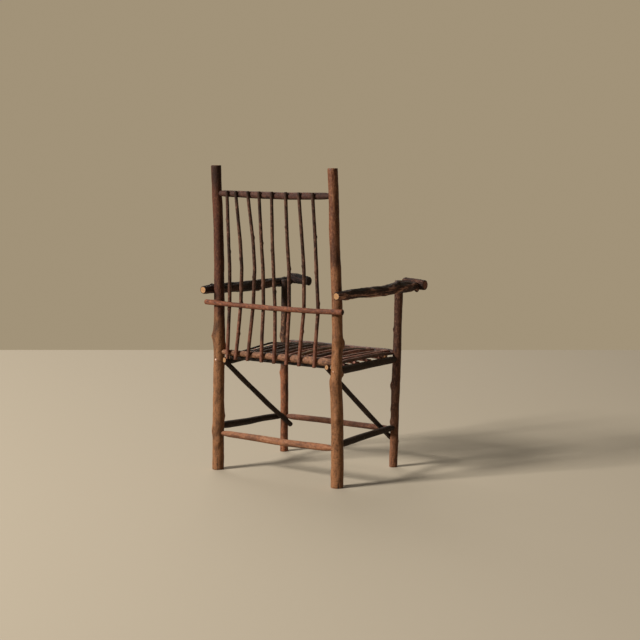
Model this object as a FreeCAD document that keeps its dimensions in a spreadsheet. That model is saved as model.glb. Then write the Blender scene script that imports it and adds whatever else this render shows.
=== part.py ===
import FreeCAD, Part
import math
import os

# Rustic armchair of bark-on sticks. X runs from the sitter's right to the left, the chair faces -Y,
# Z is up from the floor, and the origin is under the middle of the chair's box. Millimetres.

document = FreeCAD.newDocument("twig_armchair")
sheet = document.addObject("Spreadsheet::Sheet", "Sizes")

sizes = {
    # Frame: the four uprights
    "post_height": 1118,
    "left_post_excess": 5,
    "post_spacing": 532,
    "post_diameter": 42,
    "leg_spacing": 503,
    "leg_diameter": 31,
    "left_leg_rise": 13,
    "right_leg_rise": 26,
    "frame_depth": 400,
    # Back: rails and spindles
    "top_rail_drop": 96,
    "top_rail_diameter": 22,
    "lumbar_rail_height": 621,
    "lumbar_rail_diameter": 17,
    "lumbar_left_overhang": 42,
    "lumbar_right_overhang": 43,
    "lumbar_notch_depth": 2,
    "spindle_diameter": 11,
    "spindle_head_rise": 11,
    "spindle_foot_drop": 21,
    # Seat: rails, cleats, bearers and twigs
    "back_rail_height": 441,
    "back_rail_diameter": 25,
    "front_rail_height": 431,
    "front_rail_diameter": 26,
    "left_rail_rear_height": 400,
    "left_rail_front_height": 416,
    "right_rail_rear_height": 413,
    "right_rail_front_height": 408,
    "side_rail_diameter": 26,
    "cleat_diameter": 19,
    "cleat_seat_depth": 1.5,
    "cleat_end_gap": 4,
    "bearer_diameter": 11,
    "bearer_notch_depth": 5,
    "bearer_overhang": 3,
    "seat_crown": 12,
    "seat_twig_diameter": 13,
    "arch_twig_diameter": 8,
    "arch_twig_rise": 6,
    # Arms and hand rests
    "left_arm_height": 671,
    "right_arm_height": 681,
    "arm_drop": 8,
    "arm_diameter": 33,
    "arm_notch_depth": 4,
    "left_arm_rear_overhang": 56,
    "right_arm_rear_overhang": 50,
    "hand_rest_reach": 84,
    "hand_rest_rise": 8,
    "left_rest_diameter": 31,
    "left_rest_outer_length": 12,
    "left_rest_inner_length": 86,
    "right_rest_diameter": 39,
    "right_rest_outer_length": 31,
    "right_rest_inner_length": 62,
    # Under the seat: stretchers and braces
    "back_stretcher_height": 137,
    "front_stretcher_height": 141,
    "end_stretcher_diameter": 23,
    "left_stretcher_rear_height": 161,
    "left_stretcher_front_height": 145.5,
    "right_stretcher_rear_height": 150.5,
    "right_stretcher_front_height": 151,
    "side_stretcher_diameter": 24,
    "brace_top_height": 409,
    "brace_foot_height": 115,
    "brace_diameter": 17.5,
    "brace_notch_depth": 2,
    "left_brace_rear_overhang": 3,
    "right_brace_rear_overhang": 24,
    "brace_front_overhang": 12,
    # Joints
    "rail_tenon_diameter": 15,
    "stretcher_tenon_diameter": 14,
    "tenon_web": 2,
    "whittle_length": 11,
    "fit_clearance": 0.25,
    "rest_clearance": 0.6,
}
for row, (name, value) in enumerate(sizes.items(), start=1):
    sheet.set(f"A{row}", name)
    sheet.set(f"B{row}", str(value))
    sheet.setAlias(f"B{row}", name)
document.recompute()


class Length:
    """A length as shares of the sheet's sizes, which is written out as a formula of its cells."""

    def __init__(self, shares):
        self.shares = shares

    def __add__(self, other):
        names = {**self.shares, **other.shares}
        return Length({n: self.shares.get(n, 0) + other.shares.get(n, 0) for n in names})

    def __mul__(self, share):
        return Length({name: share * own for name, own in self.shares.items()})

    def __sub__(self, other):
        return self + other * -1

    def __neg__(self):
        return self * -1

    __rmul__ = __mul__

    def formula(self):
        terms = [f"({share:.9g}) * Sizes.{name}" for name, share in self.shares.items() if share]
        return " + ".join(terms) or "0"

    def value(self):
        return sum(sizes[name] * share for name, share in self.shares.items())


def size(name):
    return Length({name: 1})


zero = Length({})


def between(start, end, share):
    """The point at a share of the way from one point to the other."""
    return tuple(a + (b - a) * share for a, b in zip(start, end))


def share_at(place, places, shares):
    """The share at a place among rising places, in a straight line between its neighbours."""
    for low, high, first, last in zip(places, places[1:], shares, shares[1:]):
        if place <= high:
            return first + (last - first) * (place - low) / (high - low)
    return shares[-1]


# How a stick's cross-sections are turned: yaw and pitch in degrees
UP, ACROSS, ALONG = ("0", "0"), ("0", "90"), ("-90", "90")
STOUT_SIDES, RAIL_SIDES, TWIG_SIDES, KNOT_SIDES = 20, 16, 12, 8
outlines = {}
solids = {}


def loft(name, turn, sides, stations):
    """A ruled stick through cross-sections, each given by its centre and radius."""
    start = stations[0][0]
    rings = []
    for number, (centre, radius) in enumerate(stations):
        ring = document.addObject("Part::RegularPolygon", f"{name}_ring_{number}")
        ring.Polygon = sides
        ring.setExpression("Circumradius", radius.formula())
        place = "; ".join((along - origin).formula() for along, origin in zip(centre, start))
        ring.setExpression("Placement", f"placement(vector({place}); rotation({turn[0]}; {turn[1]}; 0))")
        rings.append(ring)
    stick = document.addObject("Part::Loft", name)
    stick.Sections = rings
    stick.Solid = stick.Ruled = stick.Linearize = True
    place = "; ".join(origin.formula() for origin in start)
    stick.setExpression("Placement", f"placement(vector({place}); rotation(0; 0; 0))")
    return stick


def stick(name, turn, sides, stations):
    """One piece of the chair, kept with its outline so that its neighbours can be cut to fit it."""
    outlines[name] = (turn, sides, stations)
    solids[name] = loft(f"{name}_blank", turn, sides, stations)


def knot(name, number, upright, height, facing, rise_share):
    """A healed branch: a low blunt cone that stands out of an upright, facing degrees from +X."""
    centre, radius = upright.centre(height), upright.radius(height)
    out = (math.cos(math.radians(facing)), math.sin(math.radians(facing)), 0.35)
    stations = [
        (tuple(c + radius * (reach * o) for c, o in zip(centre, out)), radius * width)
        for reach, width in ((0.2, 0.66), (0.95, 0.5), (1 + rise_share, 0.3))
    ]
    knob = loft(f"{name}_knot_{number}", (str(facing), "75"), KNOT_SIDES, stations)
    fused = document.addObject("Part::Fuse", f"{name}_knotted_{number}")
    fused.Base, fused.Tool = solids[name], knob
    solids[name] = fused


def room_for(host, guest):
    """The guest's outline grown by the fit clearance, which is cut from the host."""
    turn, sides, stations = outlines[guest]
    clearance = size("fit_clearance")
    step = {UP: (0, 0, 1), ACROSS: (1, 0, 0), ALONG: (0, 1, 0)}[turn]
    first, last = stations[0][0], stations[-1][0]
    way = 1 if sum(f * (a.value() - b.value()) for f, a, b in zip(step, last, first)) > 0 else -1
    grown = [(centre, radius + clearance) for centre, radius in stations]
    for end, sign in ((0, -way), (-1, way)):
        centre, radius = grown[end]
        grown[end] = (tuple(c + clearance * (sign * s) for c, s in zip(centre, step)), radius)
    return loft(f"{host}_room_for_{guest}", turn, sides, grown)


def fit(host, *guests):
    """Cuts the host's sockets and notches, each to the outline of the piece that it takes."""
    rooms = document.addObject("Part::Compound", f"{host}_rooms")
    rooms.Links = [room_for(host, guest) for guest in guests]
    cut = document.addObject("Part::Cut", f"{host}_fitted")
    cut.Base, cut.Tool = solids[host], rooms
    solids[host] = cut


# How each upright leans: outward, then rearward below and above the bend of the posts
BEND_SHARE = 0.67
LEAN_SHARES = {
    "left_post": (-0.0108, -0.009, 0.05),
    "right_post": (-0.0108, -0.009, 0.05),
    "left_leg": (-0.007, 0, 0),
    "right_leg": (0.021, -0.0145, -0.0145),
}

# The middle of the chair's box, measured from the middle of its four feet
half_post, half_leg, half_depth = (
    size(name) * 0.5 for name in ("post_spacing", "leg_spacing", "frame_depth")
)
lumbar_reach = (
    half_post + size("lumbar_rail_height") * LEAN_SHARES["left_post"][0] + size("lumbar_left_overhang")
)
right_arm_x = (
    half_leg
    + (size("right_arm_height") - size("arm_drop")) * LEAN_SHARES["right_leg"][0]
    + size("leg_diameter") * 0.5
    + size("arm_diameter") * 0.5
    - size("arm_notch_depth")
)
middle_x = (lumbar_reach - right_arm_x - size("right_rest_outer_length")) * 0.5
top_rail_height = size("post_height") - size("top_rail_drop")
rear_reach = (
    half_depth + size("left_arm_height") * LEAN_SHARES["left_post"][1] + size("left_arm_rear_overhang")
)
front_reach = (
    half_depth
    - (size("right_arm_height") - size("arm_drop")) * LEAN_SHARES["right_leg"][1]
    + size("hand_rest_reach")
    + size("right_rest_diameter") * 0.5
)
middle_y = (rear_reach - front_reach) * 0.5


class Upright:
    """A post or leg: its foot, its leans, and its thickness at places that are shares of its height."""

    def __init__(self, side, foot, leans, diameter, height, places, shares, bows):
        sign = 1 if side == "left" else -1
        self.foot = (foot[0] * sign - middle_x, foot[1] - middle_y)
        self.leans = (leans[0] * sign, *leans[1:])
        self.diameter, self.height = diameter, height
        self.places, self.shares, self.bows = places, shares, bows

    def centre(self, height):
        bend = self.height * BEND_SHARE
        straight, raked = (bend, height - bend) if height.value() > bend.value() else (height, zero)
        outward, low_lean, high_lean = self.leans
        x = self.foot[0] + height * outward
        return (x, self.foot[1] + straight * low_lean + raked * high_lean, height)

    def radius(self, height):
        place = height.value() / self.height.value()
        return self.diameter * (0.5 * share_at(place, self.places, self.shares))

    def stations(self):
        """Cross-sections at shares of the height, bowed sideways by shares of the diameter."""
        for place, share, (bow_x, bow_y) in zip(self.places, self.shares, self.bows):
            x, y, z = self.centre(self.height * place)
            yield (x + self.diameter * bow_x, y + self.diameter * bow_y, z), self.diameter * (0.5 * share)


def build_uprights():
    """Two tall back posts and two front legs, sawn flat at both ends."""
    uprights = {}
    post_places = (0, 0.07, 0.145, 0.22, 0.33, 0.39, 0.45, 0.5, 0.6, BEND_SHARE, 0.8, 0.9, 1)
    post_shares = {
        "left": (1.04, 1.02, 1.05, 1, 0.98, 1, 1.08, 0.96, 0.91, 0.9, 0.88, 0.87, 0.87),
        "right": (1.07, 1.06, 1.05, 1.05, 1, 0.94, 0.9, 0.89, 0.9, 0.9, 0.86, 0.85, 0.85),
    }
    post_bows = {
        "left": (0, 0, -0.02, -0.01, -0.03, -0.05, -0.01, -0.03, -0.01, -0.01, -0.03, 0, 0),
        "right": (0, -0.04, -0.03, -0.03, 0.04, 0, -0.04, -0.04, -0.04, 0.03, 0.04, 0, 0),
    }
    leg_places = (0, 0.1, 0.22, 0.34, 0.5, 0.63, 0.78, 0.93, 1)
    leg_shares = {
        "left": (1.03, 0.99, 1.02, 1.0, 0.98, 0.99, 0.93, 0.86, 0.88),
        "right": (1.0, 0.98, 1.04, 1.0, 1.06, 1.03, 0.98, 1.02, 1.03),
    }
    leg_bows = {
        "left": (0, 0.03, 0, -0.05, 0.04, 0, -0.04, 0, 0),
        "right": (0, -0.03, 0, 0.05, -0.03, 0, 0.04, 0, 0),
    }
    for side in ("left", "right"):
        bows = [(bow, bow * 0.6) for bow in post_bows[side]]
        excess = size("left_post_excess") if side == "left" else zero
        uprights[f"{side}_post"] = Upright(
            side, (half_post, half_depth), LEAN_SHARES[f"{side}_post"], size("post_diameter"),
            size("post_height") + excess, post_places, post_shares[side], bows,
        )
        bows = [(bow, -bow * 0.8) for bow in leg_bows[side]]
        uprights[f"{side}_leg"] = Upright(
            side, (half_leg, -half_depth), LEAN_SHARES[f"{side}_leg"], size("leg_diameter"),
            size(f"{side}_arm_height") - size("arm_drop") + size(f"{side}_leg_rise"),
            leg_places, leg_shares[side], bows,
        )
        stick(f"back_post_{side}", UP, STOUT_SIDES, list(uprights[f"{side}_post"].stations()))
        stick(f"front_leg_{side}", UP, RAIL_SIDES, list(uprights[f"{side}_leg"].stations()))
    # Each knot: piece, upright, height as a share of the upright's, direction and rise
    knots = (
        ("back_post_left", "left_post", 0.439, 40, 0.2),
        ("back_post_left", "left_post", 0.405, 215, 0.28),
        ("back_post_left", "left_post", 0.09, 130, 0.14),
        ("back_post_left", "left_post", 0.175, 225, 0.16),
        ("back_post_right", "right_post", 0.458, 215, 0.4),
        ("back_post_right", "right_post", 0.335, 35, 0.2),
        ("back_post_right", "right_post", 0.35, 228, 0.5),
        ("back_post_right", "right_post", 0.215, 120, 0.12),
        ("front_leg_left", "left_leg", 0.68, 40, 0.3),
        ("front_leg_left", "left_leg", 0.445, 30, 0.26),
        ("front_leg_right", "right_leg", 0.44, 40, 0.3),
        ("front_leg_right", "right_leg", 0.305, 30, 0.26),
        ("front_leg_right", "right_leg", 0.13, 220, 0.2),
        ("front_leg_right", "right_leg", 0.7, 150, 0.12),
    )
    for number, (piece, upright, place, facing, rise_share) in enumerate(knots, start=1):
        post = uprights[upright]
        knot(piece, number, post, post.height * place, facing, rise_share)
    return uprights


def rail(name, turn, first, last, heights, diameter, tenon, stops, bends):
    """A stick with a whittled tenon in an upright at each end.

    Bends are (share of the way, rise in diameters, thickness share) between the two shoulders.
    """
    reach = 0 if turn == ACROSS else 1
    ends = [upright.centre(height) for upright, height in zip((first, last), heights)]
    inward = -1 if ends[0][reach].value() > ends[1][reach].value() else 1

    def at(end, distance):
        centre = list(ends[end])
        centre[reach] = centre[reach] + distance * (inward if end == 0 else -inward)
        return tuple(centre)

    surfaces = [upright.radius(height) for upright, height in zip((first, last), heights)]
    full = [surface + size("whittle_length") for surface in surfaces]
    stations = [(at(0, stops[0]), tenon * 0.5), (at(0, surfaces[0]), tenon * 0.5)]
    stations.append((at(0, full[0]), diameter * (0.5 * bends[0][2])))
    for share, rise, thickness in bends[1:-1]:
        x, y, z = between(at(0, full[0]), at(1, full[1]), share)
        stations.append(((x, y, z + diameter * rise), diameter * (0.5 * thickness)))
    stations.append((at(1, full[1]), diameter * (0.5 * bends[-1][2])))
    stations += [(at(1, surfaces[1]), tenon * 0.5), (at(1, stops[1]), tenon * 0.5)]
    stick(name, turn, RAIL_SIDES if diameter.value() > 20 else TWIG_SIDES, stations)
    return ends


def build_frame_rails(uprights):
    """Rails and stretchers with whittled tenons; side tenons reach the uprights' middles."""
    rail_tenon, stretcher_tenon = size("rail_tenon_diameter"), size("stretcher_tenon_diameter")
    web = size("tenon_web")
    posts = uprights["left_post"], uprights["right_post"]
    legs = uprights["left_leg"], uprights["right_leg"]
    beside_rail, beside_stretcher = rail_tenon * 0.5 + web, stretcher_tenon * 0.5 + web
    across = (
        ("top_rail", posts, top_rail_height, size("top_rail_diameter"), rail_tenon, beside_rail,
         ((0, 0, 0.92), (0.3, -0.12, 1), (0.62, -0.18, 1), (1, 0, 0.98))),
        ("back_seat_rail", posts, size("back_rail_height"), size("back_rail_diameter"), rail_tenon,
         beside_rail, ((0, 0, 0.86), (0.35, 0.03, 0.95), (0.7, 0.02, 1.08), (1, 0, 1.12))),
        ("front_seat_rail", legs, size("front_rail_height"), size("front_rail_diameter"), rail_tenon,
         beside_rail, ((0, 0, 1.04), (0.36, 0.02, 1.02), (0.68, -0.04, 0.98), (1, 0, 0.95))),
        ("back_stretcher", posts, size("back_stretcher_height"), size("end_stretcher_diameter"),
         stretcher_tenon, beside_stretcher, ((0, 0, 0.98), (0.3, -0.05, 1.08), (0.6, -0.15, 1.12), (1, 0, 1.08))),
        ("front_stretcher", legs, size("front_stretcher_height"), size("end_stretcher_diameter"),
         stretcher_tenon, beside_stretcher, ((0, 0, 0.98), (0.35, 0.08, 1), (0.7, 0.02, 0.97), (1, 0, 1))),
    )
    for name, pair, height, diameter, tenon, stop, bends in across:
        rail(name, ACROSS, *pair, [height] * 2, diameter, tenon, [stop] * 2, bends)
    stretcher_bends = {
        "left": ((0, 0, 1.08), (0.4, -0.06, 1.02), (0.7, 0.05, 0.94), (1, 0, 0.92)),
        "right": ((0, 0, 1.02), (0.35, 0.05, 1.04), (0.7, 0.04, 0.98), (1, 0, 0.96)),
    }
    for side in ("left", "right"):
        pair = uprights[f"{side}_post"], uprights[f"{side}_leg"]
        heights = [size(f"{side}_rail_{end}_height") for end in ("rear", "front")]
        rail(f"side_seat_rail_{side}", ALONG, *pair, heights, size("side_rail_diameter"), rail_tenon,
             [zero, zero], ((0, 0, 1.14), (0.5, 0, 1.04), (1, 0, 0.97)))
        heights = [size(f"{side}_stretcher_{end}_height") for end in ("rear", "front")]
        rail(f"side_stretcher_{side}", ALONG, *pair, heights, size("side_stretcher_diameter"),
             stretcher_tenon, [zero, zero], stretcher_bends[side])


def build_back(uprights):
    """A lumbar stick nailed across the rear of the posts, and eight spindles in front of it."""
    lumbar_height, lumbar = size("lumbar_rail_height"), size("lumbar_rail_diameter")
    left, right = (uprights[f"{side}_post"] for side in ("left", "right"))
    ends = left.centre(lumbar_height), right.centre(lumbar_height)
    behind = left.radius(lumbar_height) + lumbar * 0.5 - size("lumbar_notch_depth")
    overhangs = size("lumbar_left_overhang"), -size("lumbar_right_overhang")
    start, end = ((x + over, y + behind, z) for (x, y, z), over in zip(ends, overhangs))
    stations = [
        ((*between(start, end, share)[:2], lumbar_height + lumbar * rise), lumbar * (0.5 * thickness))
        for share, rise, thickness in (
            (0, 0.2, 0.98), (0.2, 0.02, 1), (0.5, -0.1, 1), (0.8, -0.02, 1), (1, 0.2, 1.06))
    ]
    stick("lumbar_rail", ACROSS, TWIG_SIDES, stations)

    spindle, clearance = size("spindle_diameter"), size("fit_clearance")
    top, seat = top_rail_height, size("back_rail_height")
    top_y = left.centre(top)[1] + (size("top_rail_diameter") + spindle) * 0.5 + clearance
    seat_y = left.centre(seat)[1] + size("back_rail_diameter") * 0.54 + spindle * 0.5 + clearance
    lumbar_y = start[1] - (lumbar + spindle) * 0.5 - clearance
    # For each spindle: head and foot as shares of the post spacing, then sideways bends in
    # diameters at four places on the way down
    spindle_shares = (
        (0.369, 0.388, -0.3, -0.5, -0.2, 0),
        (0.296, 0.318, -1.6, -2.1, -1.4, -0.7),
        (0.195, 0.215, -1.95, -2.4, -1.55, -0.6),
        (0.1, 0.097, -0.35, -0.7, -0.4, 0),
        (-0.005, -0.006, 0.25, 0.15, 0, -0.3),
        (-0.119, -0.109, -0.3, -0.75, -0.55, -0.2),
        (-0.224, -0.213, -1.1, -1.55, -1.25, -0.4),
        (-0.334, -0.336, -0.65, -0.8, -1, -0.35),
    )
    head = (top_y, top + size("spindle_head_rise"))
    crossing = (lumbar_y, lumbar_height)
    foot = (seat_y, seat - size("spindle_foot_drop"))
    levels = (head, between(crossing, head, 0.56), between(crossing, head, 0.33), crossing,
              between(crossing, foot, 0.58), foot)
    drop_shares = (0, 0.3, 0.45, 0.67, 0.87, 1)
    thickness_shares = (0.9, 0.95, 1, 1.02, 1, 1.04)
    spacing = size("post_spacing")
    for number, (head_share, foot_share, *bends) in enumerate(spindle_shares, start=1):
        stations = []
        for (y, z), drop, bend, thickness in zip(levels, drop_shares, (0, *bends, 0), thickness_shares):
            x = spacing * (head_share + (foot_share - head_share) * drop) + spindle * bend - middle_x
            stations.append(((x, y, z), spindle * (0.5 * thickness)))
        stick(f"spindle_{number}", UP, TWIG_SIDES, stations)


def build_seat(uprights):
    """Cleats on the end rails, bearers let into the side rails, and bent twigs laid over them."""
    side_rail, bearer, twig = (size(n) for n in ("side_rail_diameter", "bearer_diameter", "seat_twig_diameter"))
    rest, cleat = size("rest_clearance"), size("cleat_diameter")
    pairs = {side: (uprights[f"{side}_post"], uprights[f"{side}_leg"]) for side in ("left", "right")}

    def side_rail_centre(side, share):
        heights = (size(f"{side}_rail_{end}_height") for end in ("rear", "front"))
        ends = [upright.centre(height) for upright, height in zip(pairs[side], heights)]
        return between(*ends, share)

    # Each cleat lies against its rail, below it and towards the middle of the seat
    cleats = {}
    brace_gap = size("brace_diameter") - size("brace_notch_depth") + size("cleat_end_gap")
    for end, facing, angle in (("back", -1, 52), ("front", 1, 40)):
        height, thick = size(f"{end}_rail_height"), size(f"{end}_rail_diameter")
        apart = (thick + cleat) * 0.5 - size("cleat_seat_depth")
        ends = []
        for side, sign in (("left", 1), ("right", -1)):
            upright = uprights[f"{side}_{'post' if end == 'back' else 'leg'}"]
            x, y, z = upright.centre(height)
            inset = upright.radius(height) + brace_gap
            ends.append((
                x - inset * sign,
                y + apart * (facing * math.cos(math.radians(angle))),
                z - apart * math.sin(math.radians(angle)),
            ))
        cleats[end] = ends
        stations = [(between(*ends, share), cleat * (0.5 * thickness))
                    for share, thickness in ((0, 0.94), (0.5, 1), (1, 0.97))]
        stick(f"{end}_cleat", ACROSS, TWIG_SIDES, stations)

    # Bearers, from the back to the front, as shares of the way along the side rails
    bearer_places = (0.17, 0.345, 0.54, 0.745)
    bearer_rises = (0.7, 1, 1, 0.75)
    crown_places, crown_shares = (0, 0.06, 0.28, 0.5, 0.72, 0.94, 1), (0, 0, 0.6, 1, 0.76, 0, 0)
    lift = side_rail * 0.5 - size("bearer_notch_depth") + bearer * 0.5
    bearers = []
    for number, (place, rise) in enumerate(zip(bearer_places, bearer_rises), start=1):
        ends = []
        for side, sign in (("left", 1), ("right", -1)):
            x, y, z = side_rail_centre(side, place)
            ends.append((x + size("bearer_overhang") * sign, y, z + lift))
        stations = []
        for share, crown in zip(crown_places, crown_shares):
            x, y, z = between(*ends, share)
            stations.append(((x, y, z + size("seat_crown") * (crown * rise)), bearer * 0.5))
        stick(f"seat_bearer_{number}", ACROSS, TWIG_SIDES, stations)
        bearers.append((ends, rise))

    # Seat twigs, from the left to the right, as shares of the way across the seat
    twig_places = (0.115, 0.19, 0.262, 0.33, 0.395, 0.462, 0.53, 0.598, 0.664, 0.733, 0.8, 0.868, 0.926)
    for number, place in enumerate(twig_places, start=2):
        radius = twig * (0.5 + 0.07 * math.sin(2.3 * number))
        rear, front = (between(*cleats[end], (place - 0.08) / 0.84) for end in ("back", "front"))
        rear_y = uprights["left_post"].centre(size("back_rail_height"))[1] - size("back_rail_diameter") * 0.54
        front_y = between(*(uprights[f"{s}_leg"].centre(size("front_rail_height")) for s in pairs), place)[1]
        front_y = front_y + size("front_rail_diameter") * 0.52
        above = cleat * 0.5 + rest + radius
        stations = [((rear[0], rear_y - rest, rear[2] + above), radius)]
        for step, (ends, rise) in enumerate(bearers):
            x, y, z = between(*ends, place)
            crown = size("seat_crown") * (share_at(place, crown_places, crown_shares) * rise)
            sway = twig * (0.3 * math.sin(1.9 * number + 1.4 * step))
            stations.append(((x + sway, y, z + crown + bearer * 0.5 + rest + radius), radius))
        stations.append(((front[0], front_y + rest, front[2] + above), radius * 0.92))
        stick(f"seat_twig_{number:02d}", ALONG, TWIG_SIDES, stations)

    # The outermost twigs stop short of the posts and legs, and the left one springs up in an arch
    arch_shares = (0, 0, 0.7, 1)
    for number, side, place, thick in ((1, "left", 0.035, size("arch_twig_diameter")), (15, "right", 0.972, twig)):
        radius = thick * 0.5
        post, leg = pairs[side]
        height = size(f"{side}_rail_rear_height")
        rear_y = post.centre(height)[1] - post.radius(height) - rest * 2
        front_y = leg.centre(height)[1] + leg.radius(height) + rest * 2
        stations = []
        for (ends, _), share in zip(bearers, arch_shares):
            x, y, z = between(*ends, place)
            spring = size("arch_twig_rise") * share if side == "left" else zero
            stations.append(((x, y, z + bearer * 0.5 + rest + radius + spring), radius))
        (x, y, z), _ = stations[0]
        stations.insert(0, ((x, rear_y, z - radius), radius * 0.85))
        x, y, z = between(*bearers[-1][0], place)
        stations.append(((x, front_y, z + bearer * 0.5), radius * 0.8))
        stick(f"seat_twig_{number:02d}", ALONG, TWIG_SIDES, stations)


def build_arms(uprights):
    """Rough arm logs nailed to the outer faces of the uprights, with a short log across each front end."""
    arm, notch, clearance = size("arm_diameter"), size("arm_notch_depth"), size("fit_clearance")
    # Stations from the post (0) to the leg (1), with thickness, outward and upward bends in diameters
    arm_shares = {
        "left": ((0, 0.96, 0, 0), (0.22, 1.08, 0.03, -0.07), (0.45, 1.18, -0.02, -0.07),
                 (0.7, 1.18, 0.04, -0.03), (0.86, 1.06, 0, 0.04), (1, 1.08, 0, 0.02)),
        "right": ((0, 1.02, 0, 0), (0.2, 1, 0.03, 0.04), (0.42, 1.1, -0.03, 0),
                  (0.62, 1.12, 0.02, -0.03), (0.84, 1.28, 0.03, 0.14), (1, 1.2, 0, 0.12)),
    }
    rest_tilt_shares = {"left": 0.15, "right": -0.06}
    for side, sign in (("left", 1), ("right", -1)):
        post, leg = uprights[f"{side}_post"], uprights[f"{side}_leg"]
        heights = size(f"{side}_arm_height"), size(f"{side}_arm_height") - size("arm_drop")
        crossings = []
        for upright, height, share in zip((post, leg), heights, (arm_shares[side][0][1], arm_shares[side][-1][1])):
            x, y, z = upright.centre(height)
            out = upright.radius(height) + arm * (0.5 * share) - notch
            crossings.append((x + out * sign, y, z))
        stations = []
        for share, thickness, outward, upward in arm_shares[side]:
            x, y, z = between(*crossings, share)
            stations.append(((x + arm * (outward * sign), y, z + arm * upward), arm * (0.5 * thickness)))
        x, y, z = crossings[0]
        stations.insert(0, ((x, y + size(f"{side}_arm_rear_overhang"), z), arm * 0.41))
        x, y, z = crossings[1]
        rest = size(f"{side}_rest_diameter")
        front = y - size("hand_rest_reach")
        stations.append(((x, front + rest * 0.2, z + arm * 0.05), arm * 0.45))
        stick(f"arm_{side}", ALONG, RAIL_SIDES, stations)

        outer, inner = (size(f"{side}_rest_{part}_length") * sign for part in ("outer", "inner"))
        middle = z + size("hand_rest_rise")
        tilt = rest * rest_tilt_shares[side]
        start, end = (x + outer, front, middle + tilt), (x - inner, front, middle - tilt)
        stations = [(between(start, end, share), rest * (0.5 * thickness))
                    for share, thickness in ((0, 0.96), (0.25, 1), (0.7, 0.98), (1, 0.94))]
        stick(f"hand_rest_{side}", ACROSS, RAIL_SIDES, stations)


def build_braces(uprights):
    """A diagonal stick nailed to the inner faces of each post and leg."""
    brace, notch = size("brace_diameter"), size("brace_notch_depth")
    top, foot = size("brace_top_height"), size("brace_foot_height")
    for side, sign in (("left", 1), ("right", -1)):
        ends = []
        for upright, height in ((uprights[f"{side}_post"], top), (uprights[f"{side}_leg"], foot)):
            x, y, z = upright.centre(height)
            ends.append((x - (upright.radius(height) + brace * 0.5 - notch) * sign, y, z))
        over = size(f"{side}_brace_rear_overhang"), size("brace_front_overhang")
        run, fall = ends[0][1] - ends[1][1], top - foot
        slope = fall.value() / run.value()
        (x0, y0, z0), (x1, y1, z1) = ends
        start = (x0, y0 + over[0], z0 + over[0] * slope)
        end = (x1, y1 - over[1], z1 - over[1] * slope)
        turn = ("-90", f"90 deg + atan2({fall.formula()}; {run.formula()})")
        stations = []
        for share, thickness, sag in ((0, 0.94, 0), (0.3, 1, 0.22), (0.65, 1.03, 0.26), (1, 0.98, 0)):
            x, y, z = between(start, end, share)
            stations.append(((x, y, z - brace * sag), brace * (0.5 * thickness)))
        stick(f"brace_{side}", turn, TWIG_SIDES, stations)


def fit_joints():
    """Every socket and notch, each cut to the piece that it takes."""
    for side in ("left", "right"):
        post, leg, arm = f"back_post_{side}", f"front_leg_{side}", f"arm_{side}"
        rails = f"side_seat_rail_{side}", f"side_stretcher_{side}"
        fit(arm, post, leg, f"hand_rest_{side}")
        fit(f"brace_{side}", post, leg)
        fit(post, "top_rail", "back_seat_rail", "back_stretcher", *rails)
        fit(leg, "front_seat_rail", "front_stretcher", *rails)
        fit(rails[0], *(f"seat_bearer_{number}" for number in (1, 2, 3, 4)))
    fit("lumbar_rail", "back_post_left", "back_post_right")
    fit("back_cleat", "back_seat_rail")
    fit("front_cleat", "front_seat_rail")


def check_and_write():
    """Names each finished piece, stops on any that failed, and writes one file for each."""
    document.recompute()
    failed = [o.Name for o in document.Objects if {"Invalid", "Error"} & set(o.State)]
    for name, solid in solids.items():
        solid.Label = name
        if solid.Shape.isNull() or not solid.Shape.isValid() or len(solid.Shape.Solids) != 1:
            failed.append(name)
    if failed:
        raise RuntimeError(f"These objects failed: {failed}")
    os.makedirs("parts", exist_ok=True)
    for name, solid in solids.items():
        solid.Shape.exportStep(f"parts/{name}.step")
    print(f"{len(solids)} pieces written")


uprights = build_uprights()
build_frame_rails(uprights)
build_back(uprights)
build_seat(uprights)
build_arms(uprights)
build_braces(uprights)
fit_joints()
check_and_write()
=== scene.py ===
import math

import bmesh
import bpy
import numpy as np
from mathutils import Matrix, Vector, noise
from mathutils.bvhtree import BVHTree


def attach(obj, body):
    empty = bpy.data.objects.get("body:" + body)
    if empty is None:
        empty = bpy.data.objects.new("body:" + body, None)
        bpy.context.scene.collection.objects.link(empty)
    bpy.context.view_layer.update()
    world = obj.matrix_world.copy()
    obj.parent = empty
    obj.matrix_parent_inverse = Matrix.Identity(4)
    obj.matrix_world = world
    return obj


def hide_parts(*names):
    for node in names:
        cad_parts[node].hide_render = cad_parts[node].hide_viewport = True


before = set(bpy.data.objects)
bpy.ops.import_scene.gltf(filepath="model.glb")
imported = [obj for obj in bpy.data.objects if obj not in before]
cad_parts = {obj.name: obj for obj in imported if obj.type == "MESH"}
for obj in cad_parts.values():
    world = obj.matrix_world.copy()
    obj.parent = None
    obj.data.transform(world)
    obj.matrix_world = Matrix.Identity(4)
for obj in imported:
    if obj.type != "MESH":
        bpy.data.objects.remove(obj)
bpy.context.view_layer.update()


# The room. The chair stands on a pale square of floor, with a plain pale backdrop beyond its edge. The main
# lamp shines from the left of the camera. A weak wide lamp beyond the chair and a dim sky light its front.
FLOOR_REACH = 3.12
FLOOR_COLOUR, BACKDROP_COLOUR = (0.44, 0.375, 0.28, 1), (0.36, 0.29, 0.19, 1)
WARM_WHITE = (1, 0.97, 0.93)
SKY_STRENGTH = 0.055
LAMP_DISTANCE, AIM_HEIGHT = 12, 0.5
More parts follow.
